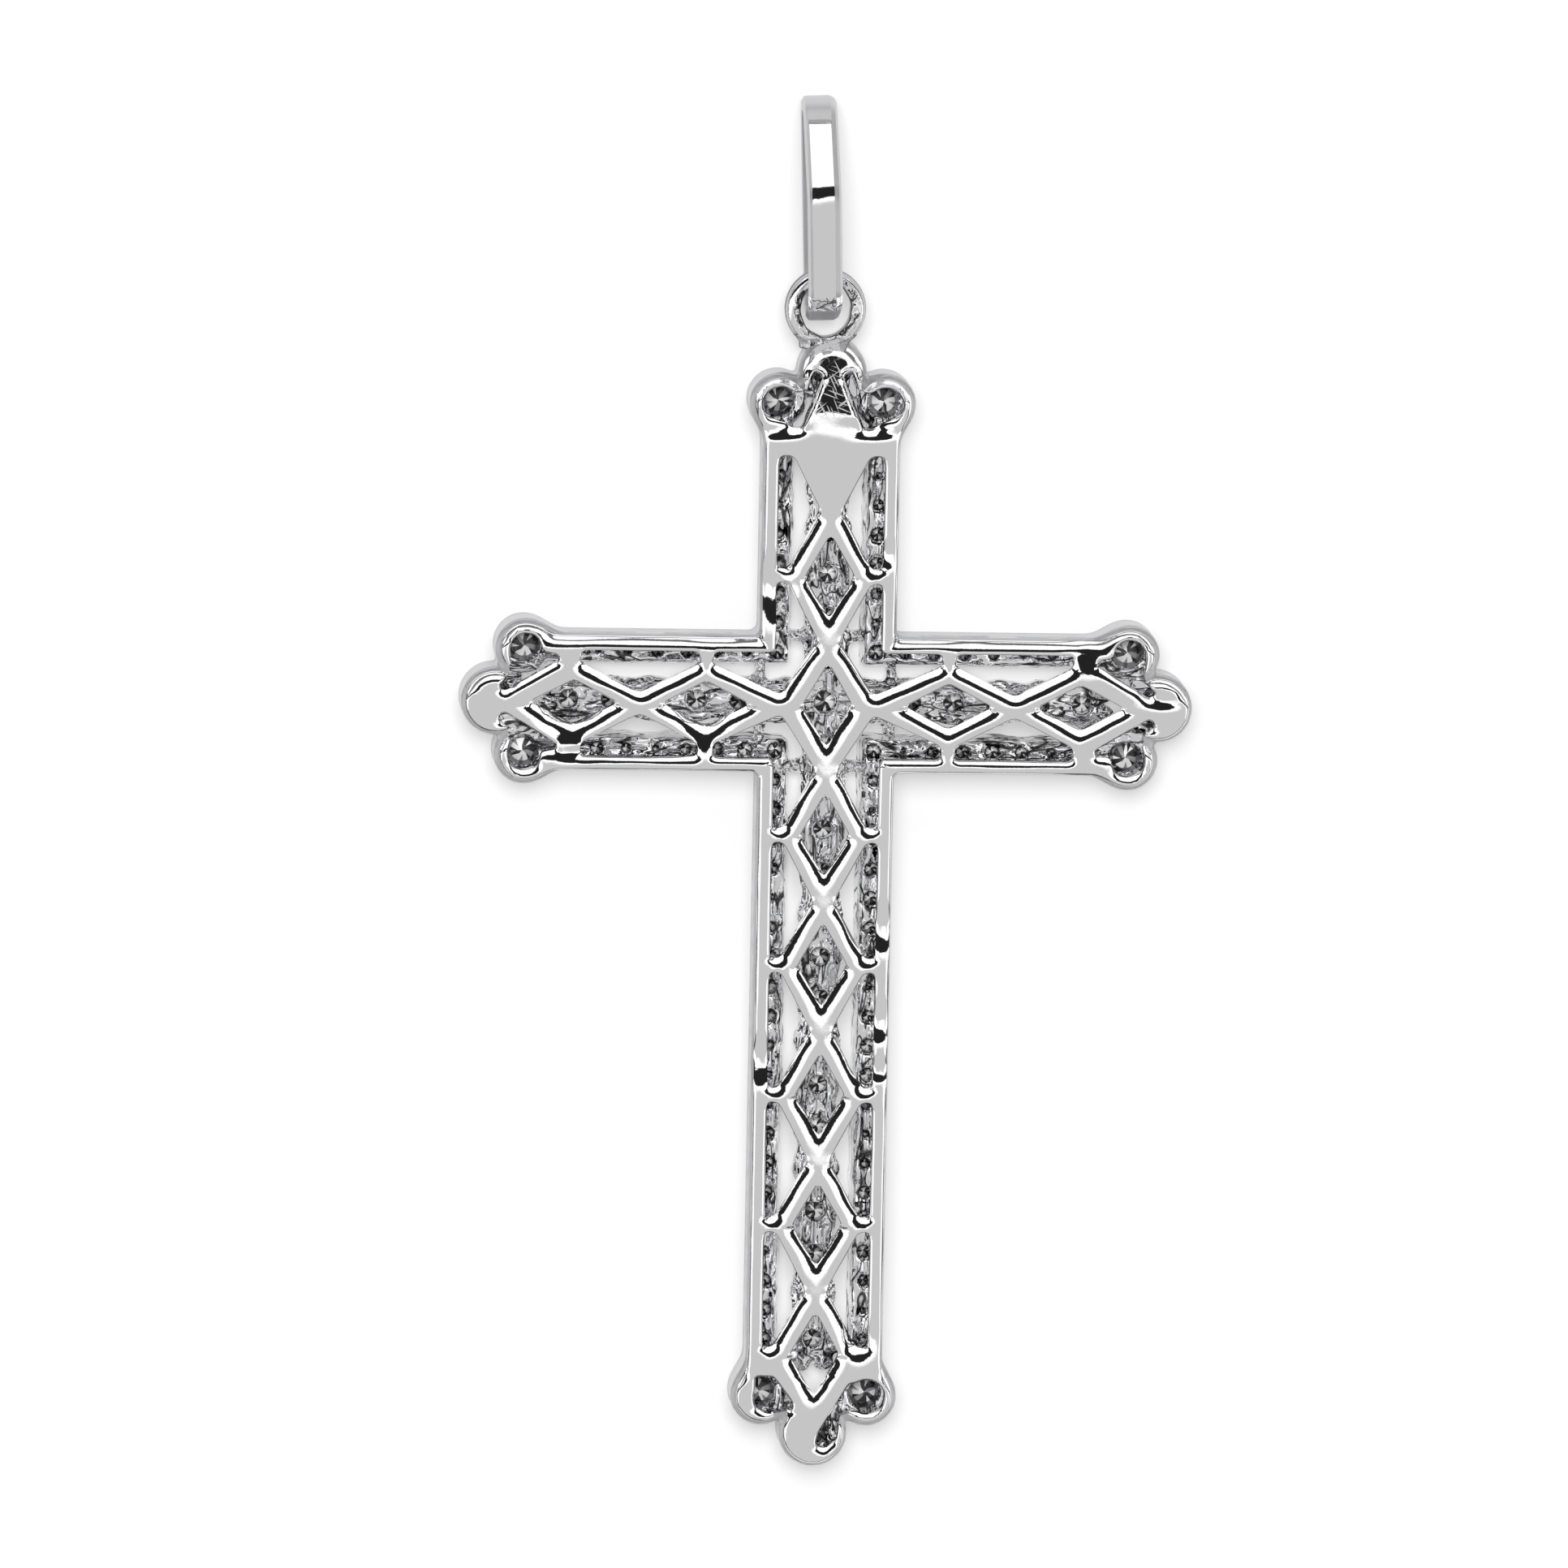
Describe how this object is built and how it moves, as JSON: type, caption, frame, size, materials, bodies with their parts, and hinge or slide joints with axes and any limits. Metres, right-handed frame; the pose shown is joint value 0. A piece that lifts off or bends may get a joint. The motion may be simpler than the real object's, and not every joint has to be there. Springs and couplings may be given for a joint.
{
  "type": "cross pendant",
  "caption": "Cross pendant with clover-tipped arms, a stone-set front, an openwork lattice back, an eyelet and a bail, lying face down.",
  "frame": {"origin": "under the middle of the bounding box, on the surface that the front rim lies on", "axes": "+Y from the stem's tip to the bail, +Z out of the polished back, +X to the right seen from the back"},
  "size_m": [0.0256, 0.0482, 0.0033],
  "materials": {
    "white_gold": "polished, rough cast inside",
    "diamond": "clear, faceted"
  },
  "bodies": {
    "root": {"cross_frame": "white_gold", "bail": "white_gold", "centre_stone": "diamond", "vine_stone_right_1": "diamond", "vine_stone_right_2": "diamond", "vine_stone_top_1": "diamond", "vine_stone_top_2": "diamond", "vine_stone_left_1": "diamond", "vine_stone_left_2": "diamond", "vine_stone_bottom_1": "diamond", "vine_stone_bottom_2": "diamond", "vine_stone_bottom_3": "diamond", "vine_stone_bottom_4": "diamond", "vine_stone_bottom_5": "diamond", "lobe_stone_right_a": "diamond", "lobe_stone_right_tip": "diamond", "lobe_stone_right_b": "diamond", "lobe_stone_top_a": "diamond", "lobe_stone_top_tip": "diamond", "lobe_stone_top_b": "diamond", "lobe_stone_left_a": "diamond", "lobe_stone_left_tip": "diamond", "lobe_stone_left_b": "diamond", "lobe_stone_bottom_a": "diamond", "lobe_stone_bottom_tip": "diamond", "lobe_stone_bottom_b": "diamond", "small_vine_stones": "diamond", "rail_stones": "diamond"}
  },
  "joints": []
}
